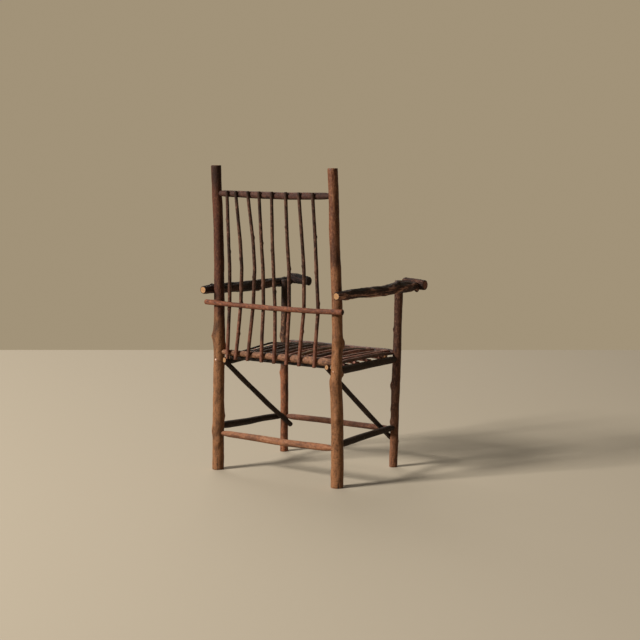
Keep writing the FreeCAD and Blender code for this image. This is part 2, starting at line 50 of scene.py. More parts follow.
# Each lamp's width in metres, its power in watts, and the way to it: rightward, away from the camera, and up
LAMPS = {
    "main_lamp": (2.4, 2200, (-0.86, -0.42, 0.55)),
    "filling_lamp": (7, 620, (-0.3, 0.85, 0.7)),
}
camera_place = Vector((-3.141, 4.5504, 1.22304))
camera_yaw, camera_pitch = math.radians(34.42), math.radians(6.91)
ahead = Vector((math.sin(camera_yaw), -math.cos(camera_yaw), 0))
beside = ahead.cross(Vector((0, 0, 1)))

paint = bpy.data.materials.new("pale_floor")
paint.use_nodes = True
for socket, value in (("Base Color", FLOOR_COLOUR), ("Roughness", 0.9), ("Specular IOR Level", 0.1)):
    paint.node_tree.nodes["Principled BSDF"].inputs[socket].default_value = value
floor_mesh = bpy.data.meshes.new("floor")
floor_corners = [(ahead * x + beside * y) * FLOOR_REACH for x, y in ((-1, -1), (-1, 1), (1, 1), (1, -1))]
floor_mesh.from_pydata(floor_corners, [], [(0, 1, 2, 3)])
floor_mesh.materials.append(paint)
floor = bpy.data.objects.new("floor", floor_mesh)
bpy.context.scene.collection.objects.link(floor)

lens = bpy.data.cameras.new("camera")
lens.sensor_width, lens.lens = 36, 84.79
camera = bpy.data.objects.new("camera", lens)
camera.location = camera_place
sight = ahead * math.cos(camera_pitch) - Vector((0, 0, math.sin(camera_pitch)))
camera.rotation_mode = "QUATERNION"
camera.rotation_quaternion = sight.to_track_quat("-Z", "Y")
bpy.context.scene.collection.objects.link(camera)
bpy.context.scene.camera = camera

for name, (width, power, (sideways, onward, upward)) in LAMPS.items():
    lamp = bpy.data.objects.new(name, bpy.data.lights.new(name, "AREA"))
    lamp.data.size, lamp.data.energy, lamp.data.color = width, power, WARM_WHITE
    lamp_way = (beside * sideways + ahead * onward + Vector((0, 0, upward))).normalized()
    lamp.location = lamp_way * LAMP_DISTANCE + Vector((0, 0, AIM_HEIGHT))
    lamp.rotation_mode = "QUATERNION"
    lamp.rotation_quaternion = (-lamp_way).to_track_quat("-Z", "Y")
    bpy.context.scene.collection.objects.link(lamp)


class Strand:
    """One value in a web of nodes: Python's operators on it add Math nodes."""

    def __init__(self, web, socket):
        self.web, self.socket = web, socket

    def math(self, operation, *others):
        return self.web.add("Math", {"operation": operation}, dict(enumerate((self, *others))))

    def __add__(self, other):
        return self.math("ADD", other)

    def __sub__(self, other):
        return self.math("SUBTRACT", other)

    def __rsub__(self, other):
        return self.math("MULTIPLY_ADD", -1, other)

    def __mul__(self, other):
        return self.math("MULTIPLY", other)

    __radd__, __rmul__ = __add__, __mul__

    def between(self, low, high):
        """0 below the low value, 1 above the high one, and a smooth rise from one to the other."""
        settings = {"interpolation_type": "SMOOTHSTEP"}
        return self.web.add("MapRange", settings, {"Value": self, "From Min": low, "From Max": high})


class Web:
    """The nodes of the sky or of a finish."""

    def __init__(self, tree):
        self.tree = tree

    def add(self, kind, settings, inputs, output=0):
        """A new node, by its kind, its settings, and the values or links of its sockets."""
        node = self.tree.nodes.new(f"ShaderNode{kind}")
        for name, value in settings.items():
            setattr(node, name, value)
        for name, value in inputs.items():
            self.join(node.inputs[name], value)
        return Strand(self, node.outputs[output])

    def join(self, socket, value):
        """Links a strand to a socket, or writes a plain value on it."""
        if isinstance(value, Strand):
            self.tree.links.new(value.socket, socket)
        else:
            socket.default_value = value


sky = bpy.data.worlds.new("sky")
sky.use_nodes = True
sky_web = Web(sky.node_tree)
dim = sky.node_tree.nodes["Background"]
sky_web.join(dim.inputs["Color"], (*WARM_WHITE, 1))
sky_web.join(dim.inputs["Strength"], SKY_STRENGTH)
backdrop = sky_web.add("Background", {}, {"Color": BACKDROP_COLOUR})
seen, mirrored, through = (
    sky_web.add("LightPath", {}, {}, ray) for ray in ("Is Camera Ray", "Is Glossy Ray", "Is Transmission Ray")
)
either = {0: seen + (mirrored + through), 1: Strand(sky_web, dim.outputs["Background"]), 2: backdrop}
sky_web.join(sky.node_tree.nodes["World Output"].inputs["Surface"], sky_web.add("MixShader", {}, either))
bpy.context.scene.world = sky
bpy.context.scene.view_settings.view_transform = "Standard"


# Back posts. Two saplings as thick as a wrist, with smooth thin bark: tan near the floor, red-brown above the
# arms. Their branches were cut off and have healed to knots, and both ends are sawn square.
class Finish(Web):
    """A material for the chair, made node by node around one principled surface."""

    def __init__(self, name):
        self.material = bpy.data.materials.new(name)
        self.material.use_nodes = True
        super().__init__(self.material.node_tree)
        self.surface = self.tree.nodes["Principled BSDF"].inputs

    def read(self, name, output="Fac"):
        """What the mesh tells of each point under a name."""
        return self.add("Attribute", {"attribute_name": name}, {}, output)

    def stretched(self, place, around, along):
        """A place on the stick, scaled round its girth and along its length."""
        return self.add("VectorMath", {"operation": "MULTIPLY"}, {0: place, 1: (around, around, along)})

    def grain(self, place, around, along, detail):
        """Noise from 0 to 1, with so many lumps in a metre round and along the stick."""
        inputs = {"Vector": self.stretched(place, around, along), "Scale": 1, "Detail": detail}
        return self.add("TexNoise", {}, inputs)

    def mix(self, first, second, share):
        """A colour between two others."""
        return self.add("Mix", {"data_type": "RGBA"}, {0: share, 6: first, 7: second}, 2)

    def lay(self, colour, roughness, height, depth):
        """Lays colour, roughness and bumps on the surface. A bump is its height, 0 to 1, times the depth."""
        bumps = self.add("Bump", {}, {"Height": height, "Distance": depth, "Strength": 0.9})
        looks = {"Base Color": colour, "Roughness": roughness, "Specular IOR Level": 0.2, "Normal": bumps}
        for name, value in looks.items():
            self.join(self.surface[name], value)
        return self.material


def tone(red, green, blue):
    """A colour written as it looks, from 0 to 255, in the renderer's own linear scale."""
    parts = [part / 255 for part in (red, green, blue)]
    return (*(p / 12.92 if p <= 0.04045 else ((p + 0.055) / 1.055) ** 2.4 for p in parts), 1)


def bark(name, foot, top, deep, wear_and_highlight, fade=(0.4, 0.95), roughness=0.55, rough=1, mottle=1, crown=None):
    """Bark that turns from one tone at the foot to another above, paler where worn, and darker in its grooves
    and paler on its ridges, partly as painted shade and painted highlight.

    fade: the heights in metres between which the foot's tone gives way to the top's
    rough: how deep its fine bumps are, as a share of the usual depth
    mottle: how strongly it is blotched, as a share of the usual strength
    crown: the tone along the top of a level stick, where it has one of its own
    """
    finish = Finish(name)
    place, relief, knot = finish.read("stick", "Vector"), finish.read("relief"), finish.read("knot")
    above = finish.add("SeparateXYZ", {}, {0: finish.add("NewGeometry", {}, {})}, "Z")
    blotches = finish.grain(place, 26, 9, 4)
    streaks = finish.grain(place, 320, 30, 4)
    flecks = finish.grain(place, 160, 420, 2)
    scuffs = finish.grain(place, 150, 90, 5)
    patches = finish.grain(place, 60, 36, 3)
    pores = finish.grain(place, 230, 330, 1).between(0.7, 0.76)
    cracks = finish.grain(place, 260, 9, 2).between(0.6, 0.66) * (1 - above.between(0.02, 0.07))
    wood = finish.mix(tone(168, 124, 86), tone(134, 92, 62), streaks)
    peeled = finish.read("peeled") + (streaks - 0.5) * 0.5
    layers = [
        (top, (above + (blotches - 0.5) * 0.7).between(*fade)),
        (deep, blotches.between(0.5, 0.72) * 0.45),
        (deep, streaks.between(0.48, 0.78) * 0.5),
        (wear_and_highlight, scuffs.between(0.52, 0.66) * (0.65 * mottle)),
        (deep, (1 - scuffs).between(0.53, 0.68) * (0.6 * mottle)),
        (deep, patches.between(0.53, 0.7) * (0.4 * mottle)),
        (deep, flecks.between(0.58, 0.66) * 0.65),
        # Darker grooves and paler ridges from the mesh's relief: partly the bark's own tones, partly painted
        # shade and painted highlight
        (deep, (0.5 - relief).between(0, 0.42) * 0.75),
        (wear_and_highlight, relief.between(0.62, 0.95) * 0.5),
        (tone(30, 18, 12), (knot + (scuffs - 0.5) * 0.7).between(0.3, 0.85) * 0.8),
        (wear_and_highlight, pores * (0.6 * mottle)),
        (tone(170, 122, 96), (knot * -1 + (scuffs - 0.5) * 0.4).between(0.15, 0.8)),
        (tone(24, 15, 10), cracks),
        (wood, peeled.between(0.4, 0.6)),
    ]
    if crown:
        below = finish.add("SeparateXYZ", {}, {0: place}, "Y")
        layers.append((crown, (below * -1 + (patches - 0.5) * 0.02).between(0.006, 0.013) * 0.9))
    colour = foot
    for layer, share in layers:
        colour = finish.mix(colour, layer, share)
    height = streaks * 0.5 + scuffs * 0.9 + patches * 0.5 + pores * 0.2
    return finish.lay(colour, roughness + (scuffs - 0.5) * 0.35, height, 0.0016 * rough)


def sawn_end(name, early, late, stain):
    """Sawn end grain: growth rings of two tones, a dark pith, stains and a rim of bark."""
    finish = Finish(name)
    place = finish.read("stick", "Vector")
    reach = finish.add("VectorMath", {"operation": "LENGTH"}, {0: finish.stretched(place, 1, 0)}, "Value")
    wobble = finish.grain(place, 140, 0, 3)
    rings = (reach * 2400 + wobble * 5).math("SINE") * 0.5 + 0.5
    colour = finish.mix(early, late, rings * 0.6)
    colour = finish.mix(colour, stain, wobble.between(0.5, 0.8) * 0.7)
    colour = finish.mix(colour, stain, 1 - reach.between(0.0006, 0.002))
    colour = finish.mix(colour, tone(50, 32, 23), finish.read("rim").between(0.82, 0.92))
    return finish.lay(colour, 0.8, rings + wobble, 0.0005)


right_bark = bark("right_post_bark", tone(140, 95, 61), tone(106, 65, 44), tone(50, 28, 17),
                  tone(146, 102, 70), mottle=0.75)
# The left post's top tone is darker and browner than the right post's: painted shade on the top of that post
left_bark = bark("left_post_bark", tone(141, 97, 63), tone(84, 47, 32), tone(38, 22, 14), tone(112, 76, 52),
                 fade=(0.42, 0.68), roughness=0.72, mottle=0.75)
sawn = sawn_end("sawn_end_grain", tone(186, 144, 100), tone(150, 106, 70), tone(104, 68, 44))
weathered = sawn_end("weathered_end_grain", tone(74, 54, 43), tone(58, 40, 32), tone(34, 23, 18))

# How finely stout sticks are divided: points round the girth, and the step along the stick in metres
STOUT_POINTS, STOUT_STEP = 44, 0.0055
# How far each reading of a solid keeps from its corners and from its ends, and how long an end is, in metres
OFF_CORNERS, OFF_ENDS, END_LENGTH = 0.00013, 0.0004, 0.01
# A reading below this share of the usual girth lies in a notch or a socket, and isn't used
SOUND_SHARE = 0.82
# The shares of the usual girth at which a spot begins to count as a knot, and counts as a full one
KNOT_START, KNOT_FULL = 1.05, 1.35
# The sawn edge's bevel, and how far from the ends the bark lies flatter, in metres
BEVEL, FLAT_LENGTH = 0.0014, 0.004
# The middle line, the usual radii and the direction of each stick made so far
spines = {}


def soften(rows, times):
    """Rounds a run of values off from row to row, with its two ends kept."""
    rows = rows.copy()
    for _ in range(times):
        rows[1:-1] = rows[:-2] * 0.25 + rows[1:-1] * 0.5 + rows[2:] * 0.25
    return rows


def aslant(corners, longest):
    """The direction of a stick that runs aslant, from the middle of one end to that of the other."""
    way = np.linalg.svd(corners - corners.mean(0), full_matrices=False)[2][0]
    along = corners @ way
    near, far = (corners[np.abs(along - end) < END_LENGTH].mean(0) for end in (along.min(), along.max()))
    way = (far - near) / np.linalg.norm(far - near)
    return way * np.sign(way[longest])


def survey(node, points, step):
    """Reads a stick's line and girth from its solid, as rings of points: first along, then around."""
    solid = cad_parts[node].data
    corners = np.array([v.co for v in solid.vertices])
    spans = np.ptp(corners, axis=0)
    longest = int(np.argmax(spans))
    way = np.eye(3)[longest]
    # A brace reaches more than half as far on a second axis
    if sorted(spans)[1] > 0.5 * spans[longest]:
        way = aslant(corners, longest)
    sideways = np.eye(3)[1 if longest == 0 else 0]
    sideways = sideways - way * sideways.dot(way)
    sideways /= np.linalg.norm(sideways)
    upward = np.cross(way, sideways)

    along = corners @ way
    low, high = along.min(), along.max()
    stations = np.linspace(low, high, max(8, round((high - low) / step)) + 1)
    reads = np.clip(stations + OFF_CORNERS, low + OFF_ENDS, high - OFF_ENDS)
    edges = np.array([e.vertices[:] for e in solid.edges])
    first, last = along[edges[:, 0]], along[edges[:, 1]]
    middles = []
    for place in reads:
        crossing = (first - place) * (last - place) < 0
        a, b = corners[edges[crossing, 0]], corners[edges[crossing, 1]]
        share = ((place - first[crossing]) / (last[crossing] - first[crossing]))[:, None]
        cut = a + (b - a) * share
        flat = np.stack([cut @ sideways, cut @ upward], 1)
        middles.append((flat.min(0) + flat.max(0)) / 2)
    middles = soften(np.array(middles), 6)

    tree = BVHTree.FromPolygons([Vector(c) for c in corners], [p.vertices[:] for p in solid.polygons])
    angles = np.linspace(0, 2 * math.pi, points, endpoint=False)
    outward = np.cos(angles)[:, None] * sideways + np.sin(angles)[:, None] * upward
    outside = np.sort(spans)[0]
    girths = np.zeros((len(stations), points))
    for ring, (place, (u, v)) in enumerate(zip(reads, middles)):
        centre = way * place + sideways * u + upward * v
        for spot in range(points):
            depth = tree.ray_cast(Vector(centre + outward[spot] * outside), Vector(-outward[spot]))[3]
            girths[ring, spot] = outside - depth if depth else 0
    usual = np.median(girths, axis=1)
    usual = np.median(np.stack([np.roll(usual, shift) for shift in (-2, -1, 0, 1, 2)]), axis=0)
    for ring in range(len(stations)):
        sound = girths[ring] > SOUND_SHARE * usual[ring]
        if sound.any():
            girths[ring] = np.interp(angles, angles[sound], girths[ring][sound], period=2 * math.pi)
        else:
            girths[ring] = usual[ring]
    centres = np.array([way * s + sideways * u + upward * v for s, (u, v) in zip(stations, middles)])
    spines[node] = centres, usual, way
    return centres, girths, usual, outward, way, stations - low


def evened(girths, knots):
    """Takes the flat facets out of a solid's girths, but leaves its knots as they are."""
    smooth = soften(girths, 7)
    for _ in range(3):
        smooth = smooth * 0.5 + (np.roll(smooth, 1, 1) + np.roll(smooth, -1, 1)) * 0.25
    hold = np.clip(soften(knots, 2) * 1.6, 0, 1)
    return smooth + (soften(girths, 2) - smooth) * hold


def roughened(grain, round_places, places, ridged):
    """How high the bark stands at each point, in metres, and as a share from 0 in its grooves to 1.

    Ridges stand where the noise crosses nought.
    """
    raised = np.zeros((len(places), len(round_places)))
    for ring, place in enumerate(places):
        for spot, (x, y) in enumerate(round_places):
            for height, around, lengthwise in grain:
                lump = noise.noise(Vector((x * around, y * around, place * lengthwise)))
                raised[ring, spot] += height * (0.55 - 2 * abs(lump) if ridged else lump)
    tallest = sum(height for height, _, _ in grain)
    if ridged:
        raised -= raised.mean()
    return raised, np.clip(0.5 + raised / (tallest * (0.45 if ridged else 1.1)), 0, 1)


def budded(raised, knots, buds, along, girth):
    """Adds each bud's height to the bark, and its darkness to the knots.

    A bud that isn't dark clears the dark of the knots before it.
    """
    angles = np.linspace(0, 2 * math.pi, raised.shape[1], endpoint=False)
    for share, degrees, height, width, stretch, dark in buds:
        apart = (angles - math.radians(degrees) + math.pi) % (2 * math.pi) - math.pi
        away = np.hypot((along[:, None] - share * along[-1]) / stretch, apart[None] * girth) / width
        bump = np.exp(-(away ** 2) * 2)
        raised = raised + height * bump
        knots = np.maximum(knots, bump * dark) if dark > 0 else np.minimum(knots, bump * dark)
    return raised, knots


class Skin:
    """A mesh of rings round a stick, which tells the finishes what they read at each point."""

    def __init__(self, round_ways, shift):
        self.mesh, self.round_ways, self.shift = bmesh.new(), round_ways, shift
        layers = self.mesh.verts.layers
        self.layers = {name: layers.float.new(name) for name in ("relief", "knot", "peeled", "rim")}
        self.place_layer = layers.float_vector.new("stick")

    def ring(self, points, place, girth, **values):
        """A ring of corners at a place along the stick. Each value is one number, or one for each corner."""
        corners = []
        rows = {name: np.broadcast_to(value, len(points)) for name, value in values.items()}
        for spot, (point, (x, y)) in enumerate(zip(points, self.round_ways)):
            corner = self.mesh.verts.new(Vector(point))
            corner[self.place_layer] = (x * girth, y * girth, place + self.shift)
            for name, row in rows.items():
                corner[self.layers[name]] = float(row[spot])
            corners.append(corner)
        return corners

    def band(self, lower, upper, finish):
        """The faces between two rings, or between a ring and a single corner."""
        for spot in range(len(lower)):
            after = (spot + 1) % len(lower)
            upper_corners = (upper[after], upper[spot]) if len(upper) > 1 else upper
            self.mesh.faces.new((lower[spot], lower[after], *upper_corners)).material_index = finish


def piece_of_chair(name, mesh, finishes):
    """A piece made of a finished mesh, which rides on the chair's one body."""
    bmesh.ops.recalc_face_normals(mesh, faces=mesh.faces)
    data = bpy.data.meshes.new(name)
    mesh.to_mesh(data)
    mesh.free()
    for finish in finishes:
        data.materials.append(finish)
    data.shade_smooth()
    piece = bpy.data.objects.new(name, data)
    bpy.context.scene.collection.objects.link(piece)
    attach(piece, "root")
    return piece


def stick(node, slot, finish, grain, points=STOUT_POINTS, step=STOUT_STEP, buds=(), peel=0, seed=0, cut=None,
          ridged=False, slant=None, thick=0):
    """A bark-on stick in the place of its solid, with the bark's relief in its mesh and both ends sawn.

    grain: (height, lumps per metre round, lumps per metre along), in metres
    buds: (share of the length, degrees round it, height, width, stretch along the stick, how dark, from -1
        for a bare pale scar to 1 for black)
    peel: the length at each end that is whittled bare
    cut: the finish of its two ends
    ridged: whether its bark stands in ridges and not in rounded lumps
    slant: the way that its last end is cut to face, where that isn't square across
    thick: how far the bark stands out from the solid
    """
    centres, girths, usual, outward, way, along = survey(node, points, step)
    length, girth = along[-1], float(np.mean(usual))
    round_ways = [(spot_way @ outward[0], spot_way @ outward[points // 4]) for spot_way in outward]
    shift = 3.7 * (seed + len(spines))

    knots = np.clip((girths / usual[:, None] - KNOT_START) / (KNOT_FULL - KNOT_START), 0, 1.2)
    knots[:2] = knots[-2:] = 0
    surface = centres[:, None] + outward[None] * (evened(girths, knots) + thick)[..., None]
    raised, relief = roughened(grain, [(x * girth, y * girth) for x, y in round_ways], along + shift, ridged)
    raised, knots = budded(raised, knots, buds, along, girth)
    ease = np.clip(np.minimum(along, length - along) / FLAT_LENGTH, 0, 1)[:, None]
    surface = surface + outward[None] * (raised * (0.35 + 0.65 * ease))[..., None]
    if slant:
        reach = -((surface[-1] - centres[-1]) @ np.array(slant)) / (way @ np.array(slant))
        share = np.clip((along - length) / (girth * 3) + 1, 0, 1)
        surface = surface + way * (share[:, None] * reach)[..., None]

    bevel = min(BEVEL, girth * 0.12)
    ends = [centres[end] + (surface[end] - centres[end]) * (1 - bevel / girth) for end in (0, -1)]
    rows = [ends[0], surface[0] + way * bevel, *surface[1:-1], surface[-1] - way * bevel, ends[1]]
    marks = [0, bevel, *along[1:-1], length - bevel, length]
    relief, knots = ([values[0], *values, values[-1]] for values in (relief, knots))

    skin = Skin(round_ways, shift)
    rings = [
        skin.ring(row, mark, girth, relief=lumps, knot=knobs, peeled=min(mark, length - mark) < peel)
        for row, mark, lumps, knobs in zip(rows, marks, relief, knots)
    ]
    for lower, upper in zip(rings, rings[1:]):
        skin.band(lower, upper, 0)
    for end, mark in ((0, 0), (-1, length)):
        middle = centres[end]
        edge = skin.ring(rows[end], mark, girth, relief=0.5, rim=1)
        for share in (0.93, 0.6, 0.3):
            row = middle + (rows[end] - middle) * share
            inner = skin.ring(row, mark, girth * share, relief=0.5, rim=share)
            skin.band(edge, inner, 1)
            edge = inner
        skin.band(edge, skin.ring([middle], mark, 0, relief=0.5), 1)
    piece = piece_of_chair(f"{node}_bark", skin.mesh, (finish, cut or sawn))
    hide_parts(node)


SMOOTH_GRAIN = ((0.0013, 20, 9), (0.0008, 60, 28), (0.0004, 200, 80))
stick("back_post_left", "bark_post", left_bark, SMOOTH_GRAIN, seed=1, buds=(
    (0.43, 40, 0.0015, 0.03, 1.6, 0), (0.405, 215, 0.003, 0.013, 1, 0.8), (0.09, 130, 0.002, 0.016, 0.8, 0.5),
    (0.175, 225, 0.002, 0.014, 1, 0.4), (0.13, 40, 0.003, 0.026, 1.2, 0), (0.235, 170, 0.0012, 0.008, 1, 0.4),
    # A dark patch round the left post's top end: painted shade
    (0.98, 125, 0, 0.06, 2.2, 0.85),
))
stick("back_post_right", "bark_post", right_bark, SMOOTH_GRAIN, seed=5, buds=(
    (0.452, 218, 0.0075, 0.018, 1.2, 0.7), (0.48, 175, 0.003, 0.014, 1.4, 0.3),
    (0.322, 35, 0.0025, 0.024, 1.4, 0), (0.425, 140, 0.002, 0.016, 1.5, 0.2),
    (0.465, 95, 0.0025, 0.014, 1.5, 0.3), (0.215, 120, 0.0015, 0.01, 1, 0.5),
    (0.395, 100, 0.0015, 0.008, 1, 0.4), (0.353, 200, 0.006, 0.003, 1, 1), (0.35, 225, -0.0045, 0.02, 1, 0),
    (0.352, 150, 0, 0.03, 1.1, 0.5), (0.455, 120, 0, 0.01, 3, 0.55), (0.435, 155, 0, 0.009, 3, 0.6),
    (0.415, 110, 0, 0.008, 3, 0.5), (0.4, 165, 0.001, 0.01, 2, 0.6), (0.38, 130, 0, 0.009, 3, 0.5),
    (0.55, 120, 0, 0.024, 4, 0.5), (0.51, 150, 0, 0.02, 3, 0.42),
))


# Front legs. Thinner saplings than the posts, with small knots. The left one is red-brown at the foot, the
# right one darker.
# Both go darker upwards and black at their tops, where the arms are nailed to them: painted shade and painted
# shadow.
LEG = (SMOOTH_GRAIN, 36, 0.006)
# The left leg's dark top tone: painted shade under its arm and hand rest
left_leg = bark("left_leg_bark", tone(138, 84, 55), tone(54, 36, 28), tone(44, 26, 18), tone(140, 98, 70),
                fade=(0.27, 0.42))
# The right leg's darker upper tone: painted shadow of the pieces beside and above it
right_leg = bark("right_leg_bark", tone(118, 76, 50), tone(80, 50, 37), tone(36, 21, 15), tone(126, 88, 66),
                 fade=(0.05, 0.4))
# Near-black end grain for the leg tops and the left hand rest: painted shade
painted_shade_end = sawn_end("painted_shade_end_grain", tone(36, 25, 20), tone(28, 19, 15), tone(16, 11, 9))
stick("front_leg_left", "bark_post", left_leg, *LEG, seed=2, cut=painted_shade_end, buds=(
    # Dark marks at the top end and a little below it: painted shade under the arm and hand rest
    (1, 125, 0, 0.03, 0.7, 1), (0.67, 40, 0.003, 0.01, 1.2, 0.5), (0.466, 40, 0.003, 0.009, 1.2, 0.4),
    (0.3, 150, 0.0015, 0.01, 1, 0.3), (0.93, 125, 0, 0.06, 1.7, 1),
))
stick("front_leg_right", "bark_post", right_leg, *LEG, seed=3, cut=painted_shade_end, buds=(
    # A dark mark round the top end: painted shade
    (1, 125, 0, 0.034, 0.8, 1), (0.985, 60, 0.004, 0.01, 1, 1), (0.805, 125, 0.0015, 0.0035, 1, -1),
    (0.741, 40, 0.003, 0.008, 1, 0.5), (0.627, 95, 0.003, 0.006, 1.6, -0.7),
    (0.61, 80, 0.001, 0.008, 1.6, 0.8), (0.433, 35, 0.003, 0.01, 1.4, 0.3),
    (0.245, 35, 0.003, 0.01, 1.4, 0.3),
))


# Rails and stretchers across the chair, and the lumbar rail. Smooth rose-brown bark, mottled in places; the
# front stretcher's darker rose is painted shade. The first three are whittled to tenons inside the posts or
# legs; the lumbar rail is nailed on.
RAIL_GRAIN = ((0.0008, 24, 8), (0.0004, 90, 22), (0.0002, 300, 60))
RAIL = (RAIL_GRAIN, 28, 0.006)
rose, painted_shade_rose, mottled = tone(142, 94, 64), tone(112, 71, 52), tone(128, 89, 65)
rose_bark = bark("rose_bark", rose, rose, tone(74, 48, 34), tone(164, 122, 90), roughness=0.7, mottle=0.7)
# The front stretcher's darker copy of the rose bark is painted shade
painted_shade_rose_bark = bark("painted_shade_rose_bark", painted_shade_rose, painted_shade_rose, tone(58, 37, 27), tone(146, 104, 78),
                      roughness=0.7)
mottled_bark = bark("mottled_bark", mottled, mottled, tone(48, 33, 25), tone(154, 114, 84), roughness=0.7,
                    rough=1.4)
stick("back_seat_rail", "bark_rose", mottled_bark, *RAIL)
stick("back_stretcher", "bark_rose", rose_bark, *RAIL, seed=1)
stick("front_stretcher", "bark_rose", painted_shade_rose_bark, *RAIL, seed=2)
red_bark = bark("red_bark", tone(116, 69, 47), tone(112, 67, 46), tone(58, 33, 24), tone(144, 94, 68),
                roughness=0.72)
stick("lumbar_rail", "bark_rose", red_bark, *RAIL, cut=weathered, thick=0.001, buds=(
    (0.95, 50, 0.002, 0.01, 0.6, 0.2), (0.985, 50, 0.002, 0.01, 0.6, 0.5), (0.3, 50, 0.001, 0.01, 1, 0.3),
))


# Side rails, side stretchers and braces. Dark, dull bark with grey ridges, its darkness partly its own and
# partly painted shade. The rails and stretchers are tenoned; the braces are nailed, and their rear ends are
# sawn upright, in line with the backs of the posts.
SLIM_RAIL = (RAIL_GRAIN, 26, 0.006)
BACKWARD = (0, 1, 0)
# Darker than the bark's own tone: the extra darkness is painted shade
dark_bark = bark("dark_bark", tone(48, 35, 28), tone(42, 30, 24), tone(19, 12, 10), tone(80, 62, 50),
                 roughness=0.7)
slants = {"side_seat_rail": None, "side_stretcher": None, "brace": BACKWARD}
for number, (kind, slant) in enumerate(slants.items()):
    for side, thick in (("left", 0.0011), ("right", 0.0004)):
        stick(f"{kind}_{side}", "bark_dark", dark_bark, *SLIM_RAIL, seed=number, slant=slant, thick=thick)


# The seat: a front rail, cleats and bearers, and fifteen bent twigs laid over them. Their bark is red-brown
# on some and darker or greyer on others, and the first twig is nearly black. Only the cleats' tips are bare.
TWIG_POINTS = 18
TWIG_GRAIN = ((0.0007, 40, 12), (0.00035, 140, 40))
bush_tones = {
    "red": (tone(158, 104, 86), tone(52, 32, 27), tone(204, 150, 128)),
    "grey": (tone(134, 100, 86), tone(50, 34, 28), tone(184, 152, 132)),
    "brown": (tone(88, 58, 47), tone(30, 20, 16), tone(142, 102, 84)),
    "olive": (tone(118, 90, 70), tone(44, 33, 25), tone(152, 126, 94)),
    "dark": (tone(58, 39, 32), tone(22, 14, 12), tone(104, 74, 62)),
    "black": (tone(26, 17, 14), tone(14, 9, 8), tone(50, 36, 30)),
}
bush_barks = {
    name: bark(f"{name}_twig_bark", base, base, deep, wear_and_highlight, roughness=0.5)
    for name, (base, deep, wear_and_highlight) in bush_tones.items()
}
stick("front_seat_rail", "bark_rose", bush_barks["brown"], *RAIL)
# The back cleat's black bark is painted shade, for the shade under the back of the seat
for node, kind in (("back_cleat", "black"), ("front_cleat", "brown")):
    stick(node, "bark_twig", bush_barks[kind], TWIG_GRAIN, TWIG_POINTS, step=0.004, peel=0.006)
for number in range(1, 5):
    stick(f"seat_bearer_{number}", "bark_twig", bush_barks["red"], TWIG_GRAIN, TWIG_POINTS, step=0.009,
          seed=number)
twig_kinds = (
    "black", "dark", "dark", "dark", "dark", "dark", "brown", "red", "olive", "red", "dark", "red", "grey",
    "red", "brown",
)
for number, kind in enumerate(twig_kinds, 1):
    # The twelfth twig is dark over a hand's width near its front end
    dark_patch = [(0.16, 270, 0, 0.016, 3, 1)] if number == 12 else []
    stick(f"seat_twig_{number:02d}", "bark_twig", bush_barks[kind], TWIG_GRAIN, TWIG_POINTS, step=0.007,
          buds=dark_patch, seed=number)


# The back: a top rail tenoned into the posts, and eight springy spindles with their bark and buds left on.
# They are nailed behind the top rail and the seat rail, and their tops are darker, nearly black.
SPINDLE_GRAIN = ((0.0006, 45, 12), (0.0003, 160, 45))
spindle_bark = bark("spindle_bark", tone(114, 70, 52), tone(76, 49, 36), tone(30, 18, 13), tone(124, 88, 68),
                    fade=(0.42, 0.75))
rail_bark = bark("top_rail_bark", tone(74, 46, 36), tone(74, 46, 36), tone(34, 20, 15), tone(100, 68, 54),
                 roughness=0.75)
stick("top_rail", "bark_spindle", rail_bark, *SLIM_RAIL, thick=0.0018)
# Where each spindle's buds and trimmed side shoots stand: share of its length, and degrees round it
spindle_buds = {
    1: ((0.3, 60), (0.64, 240), (0.83, 60)), 2: ((0.155, 215), (0.34, 215), (0.6, 60)),
    3: ((0.73, 215), (0.5, 60)), 4: ((0.45, 60), (0.7, 215)), 5: ((0.42, 215), (0.66, 60)),
    6: ((0.24, 60), (0.56, 215), (0.8, 60)), 7: ((0.2, 215), (0.58, 60)),
    8: ((0.75, 215), (0.37, 215), (0.55, 60)),
}
dark_top = (1, 90, 0, 0.07, 1, 0.75)
for number, places in spindle_buds.items():
    buds = [(share, degrees, 0.0022, 0.006, 1.2, 0.6) for share, degrees in places]
    stick(f"spindle_{number}", "bark_spindle", spindle_bark, SPINDLE_GRAIN, TWIG_POINTS, step=0.0045,
          buds=[*buds, dark_top], seed=number, cut=weathered, thick=0.0012)


# Arms and hand rests. Gnarled logs with coarse ridged bark, black along the top and worn brown at the side,
# its pale ridges partly painted highlight. The left arm and left rest are darker, as painted shade.
# Each arm is notched and nailed to the outer side of its post and leg, and a rest is nailed across its front.
GNARLED_GRAIN = ((0.0022, 45, 9), (0.002, 120, 14), (0.0008, 300, 50))
black_and_painted_shade, arm_brown = tone(24, 15, 12), tone(82, 52, 43)
# The left arm's darker brown is painted shade
painted_shade_brown, rest_brown = tone(54, 36, 29), tone(60, 38, 30)
# The right arm's very pale ridge tone is partly worn bark and partly painted highlight
arm_bark = bark("arm_bark", arm_brown, arm_brown, black_and_painted_shade, tone(214, 158, 128), roughness=0.72, rough=2.4,
                mottle=0.4, crown=black_and_painted_shade)
painted_shade_arm_bark = bark("left_arm_painted_shade_bark", painted_shade_brown, painted_shade_brown, tone(12, 8, 7), tone(96, 68, 54),
                   roughness=0.72, rough=2, mottle=0.6, crown=black_and_painted_shade)
rest_bark = bark("rest_bark", rest_brown, rest_brown, tone(14, 9, 7), tone(130, 88, 68), roughness=0.72,
                 rough=2, mottle=0.6)
# The left hand rest's near-black bark is painted shade
painted_shade_rest_bark = bark("left_rest_bark", black_and_painted_shade, black_and_painted_shade, tone(8, 5, 4), tone(56, 37, 30), roughness=0.8,
                  rough=2)
